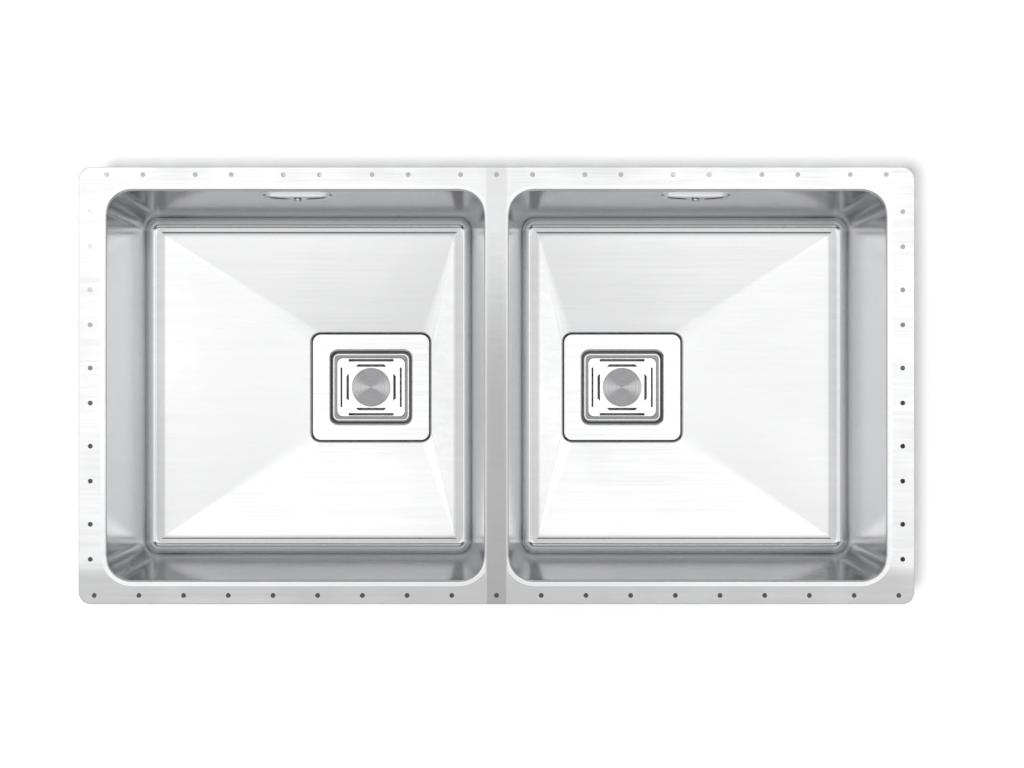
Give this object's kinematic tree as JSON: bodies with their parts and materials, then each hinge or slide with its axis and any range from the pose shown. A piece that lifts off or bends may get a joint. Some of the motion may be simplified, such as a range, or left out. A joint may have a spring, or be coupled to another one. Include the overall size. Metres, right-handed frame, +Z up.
{
  "type": "double-bowl kitchen sink",
  "caption": "Undermount steel sink: two pressed bowls under a drilled flange, with square strainer wastes, overflows, lift-out baskets and lids.",
  "frame": {"origin": "middle of the deck flange's top face, on the strip between the bowls", "axes": "+X to the right bowl, +Y to the rear wall with the overflows, +Z up out of the bowls"},
  "size_m": [0.86, 0.45, 0.2942],
  "materials": {
    "deck_steel": "fine brushed along the flange",
    "bowl_steel": "satin pressed steel",
    "flange_steel": "satin pressed steel",
    "lid_steel": "satin pressed steel",
    "disc_steel": "spun, with circular grain",
    "cover_steel": "polished edge, satin face",
    "basket_steel": "satin",
    "screw_steel": "turned",
    "gasket_rubber": "matt black",
    "pad_rubber": "matt grey damping mat",
    "body_plastic": "moulded polypropylene",
    "pipe_plastic": "extruded polypropylene"
  },
  "bodies": {
    "sink": {"deck_flange": "deck_steel", "bowl_left": "bowl_steel", "front_pad_left": "pad_rubber", "side_pad_left": "pad_rubber", "waste_flange_left": "flange_steel", "flange_gasket_left": "gasket_rubber", "body_gasket_left": "gasket_rubber", "waste_body_left": "body_plastic", "clamp_screw_left": "screw_steel", "overflow_cover_left": "cover_steel", "overflow_gasket_left": "gasket_rubber", "overflow_housing_left": "body_plastic", "cover_screw_left": "screw_steel", "overflow_pipe_left": "pipe_plastic", "pipe_rings_left": "gasket_rubber", "bowl_right": "bowl_steel", "front_pad_right": "pad_rubber", "side_pad_right": "pad_rubber", "waste_flange_right": "flange_steel", "flange_gasket_right": "gasket_rubber", "body_gasket_right": "gasket_rubber", "waste_body_right": "body_plastic", "clamp_screw_right": "screw_steel", "overflow_cover_right": "cover_steel", "overflow_gasket_right": "gasket_rubber", "overflow_housing_right": "body_plastic", "cover_screw_right": "screw_steel", "overflow_pipe_right": "pipe_plastic", "pipe_rings_right": "gasket_rubber"},
    "basket_left": {"strainer_basket_left": "basket_steel", "basket_knob_left": "basket_steel", "plug_seal_left": "gasket_rubber"},
    "lid_left": {"strainer_lid_left": "lid_steel", "lid_disc_left": "disc_steel"},
    "basket_right": {"strainer_basket_right": "basket_steel", "basket_knob_right": "basket_steel", "plug_seal_right": "gasket_rubber"},
    "lid_right": {"strainer_lid_right": "lid_steel", "lid_disc_right": "disc_steel"}
  },
  "joints": [
    {"name": "basket_lift_left", "type": "slide", "parent": "sink", "child": "basket_left", "axis": [0, 0, 1], "range_m": [0, 0.25]},
    {"name": "lid_lift_left", "type": "slide", "parent": "basket_left", "child": "lid_left", "axis": [0, 0, 1], "range_m": [0, 0.22]},
    {"name": "basket_lift_right", "type": "slide", "parent": "sink", "child": "basket_right", "axis": [0, 0, 1], "range_m": [0, 0.25]},
    {"name": "lid_lift_right", "type": "slide", "parent": "basket_right", "child": "lid_right", "axis": [0, 0, 1], "range_m": [0, 0.22]}
  ]
}
